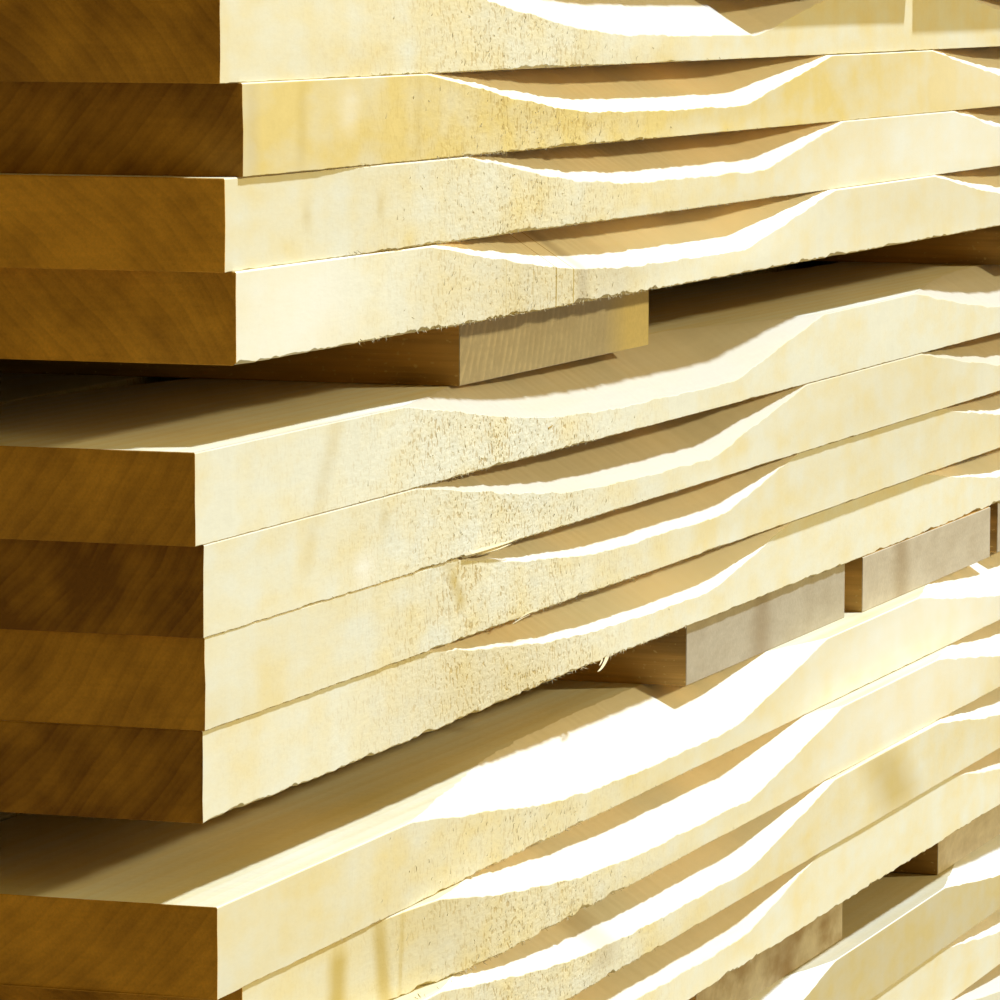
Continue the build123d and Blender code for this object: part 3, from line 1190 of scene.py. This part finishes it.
class STACK_OT_splinters(Operator):
    """Builds the torn fibres, long splinters and knot of the close boards"""

    bl_idname = "stack.splinters"
    bl_label = "Splinters"

    def execute(self, context):
        sizes = context.scene.board_sizes
        fibres = [material_for(splinter_wood), material_for(long_splinter_wood)]
        for node, number, place in layer_nodes():
            if number in CLOSE_GROUPS:
                splinter_piece(node, number, place, sizes, fibres)
            if node in KNOTS:
                knot_piece(node, material_for(knot_wood))
        return {"FINISHED"}


def sun(name, toward, strength, colour, angle):
    """A lamp far away in the direction toward, with soft shadow edges."""
    light = bpy.data.lights.new(name, "SUN")
    light.energy = strength
    light.color = colour
    light.angle = math.radians(angle)
    lamp = bpy.data.objects.new(name, light)
    lamp.rotation_euler = Vector(toward).to_track_quat("Z", "Y").to_euler()
    bpy.context.scene.collection.objects.link(lamp)


def studio_world():
    """Soft warm light from all round, and a pale backdrop where the camera or a gloss looks past."""
    world = bpy.data.worlds.new("Studio")
    bpy.context.scene.world = world
    world.use_nodes = True
    nodes = Nodes(world.node_tree)
    nodes.tree.nodes.clear()
    soft = nodes.add("ShaderNodeBackground", (*AMBIENT_COLOUR, 1), AMBIENT_STRENGTH)
    pale = nodes.add("ShaderNodeBackground", (*BACKDROP_COLOUR, 1))
    choose = nodes.add("ShaderNodeMixShader", nodes.seen(), soft.outputs[0], pale.outputs[0])
    nodes.add("ShaderNodeOutputWorld", choose.outputs[0])


def floor_piece(colours):
    """A plain pale floor under the stack."""
    half = FLOOR_HALF
    mesh = bpy.data.meshes.new("floor")
    corners = [(-half, -half, 0), (half, -half, 0), (half, half, 0), (-half, half, 0)]
    mesh.from_pydata(corners, [], [(0, 1, 2, 3)])
    surface = Surface("Studio floor", 0.9)
    mottle = surface.add("ShaderNodeTexNoise")
    mottle.inputs["Scale"].default_value = 3.0
    darker = [value * 0.97 for value in colours.floor]
    pale = surface.blend(mottle.outputs["Fac"], colours.floor, darker)
    mesh.materials.append(surface.finish(surface.blend(surface.seen(), colours.bounce, pale)))
    floor = bpy.data.objects.new("floor", mesh)
    bpy.context.scene.collection.objects.link(floor)
    floor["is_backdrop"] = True


def photo_camera():
    """The camera at the photograph's place, heading and framing."""
    low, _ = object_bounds()
    heading, tilt, roll = (math.radians(value) for value in (CAMERA_HEADING, CAMERA_TILT, CAMERA_ROLL))
    ahead = Vector((
        math.cos(tilt) * math.cos(heading),
        math.cos(tilt) * math.sin(heading),
        -math.sin(tilt),
    ))
    level = Vector((math.sin(heading), -math.cos(heading), 0))
    upward = level.cross(ahead)
    right = math.cos(roll) * level + math.sin(roll) * upward
    up = -math.sin(roll) * level + math.cos(roll) * upward
    data = bpy.data.cameras.new("Camera")
    data.sensor_width = SENSOR
    data.sensor_fit = "HORIZONTAL"
    data.lens = SENSOR * FOCAL_WIDTHS
    data.clip_start = 0.05
    data.clip_end = 60
    camera = bpy.data.objects.new("Camera", data)
    turn = Matrix((right, up, -ahead)).transposed().to_4x4()
    camera.matrix_world = Matrix.Translation(Vector(low) + Vector(CAMERA_FROM_CORNER)) @ turn
    bpy.context.scene.collection.objects.link(camera)
    bpy.context.scene.camera = camera


class STACK_OT_stage(Operator):
    """Builds the floor, the lamps, the backdrop and the camera"""

    bl_idname = "stack.stage"
    bl_label = "Stage"

    def execute(self, context):
        photo_camera()
        floor_piece(context.scene.board_colours)
        for lamp in LAMPS:
            sun(*lamp)
        studio_world()
        context.scene.view_settings.view_transform = "Standard"
        return {"FINISHED"}


class STACK_PT_panel(Panel):
    """Lists the steps and the sizes and colours that they use"""

    bl_idname = "STACK_PT_panel"
    bl_label = "Board stack"
    bl_space_type = "VIEW_3D"
    bl_region_type = "UI"
    bl_category = "Board Stack"

    def draw(self, context):
        layout = self.layout
        for operator in OPERATORS:
            layout.operator(operator.bl_idname)
        for group in (context.scene.board_sizes, context.scene.board_colours):
            for name in group.__annotations__:
                layout.prop(group, name)


OPERATORS = (STACK_OT_stage, STACK_OT_base_boards, STACK_OT_cross_boards, STACK_OT_splinters)
CLASSES = (BoardSizes, BoardColours, *OPERATORS, STACK_PT_panel)


def register():
    for item in CLASSES:
        bpy.utils.register_class(item)
    bpy.types.Scene.board_sizes = PointerProperty(type=BoardSizes)
    bpy.types.Scene.board_colours = PointerProperty(type=BoardColours)


def unregister():
    del bpy.types.Scene.board_colours
    del bpy.types.Scene.board_sizes
    for item in reversed(CLASSES):
        bpy.utils.unregister_class(item)


def main():
    register()
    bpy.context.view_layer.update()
    bpy.ops.stack.stage()
    bpy.ops.stack.base_boards()
    bpy.ops.stack.cross_boards()
    bpy.ops.stack.splinters()


if __name__ == "__main__":
    main()
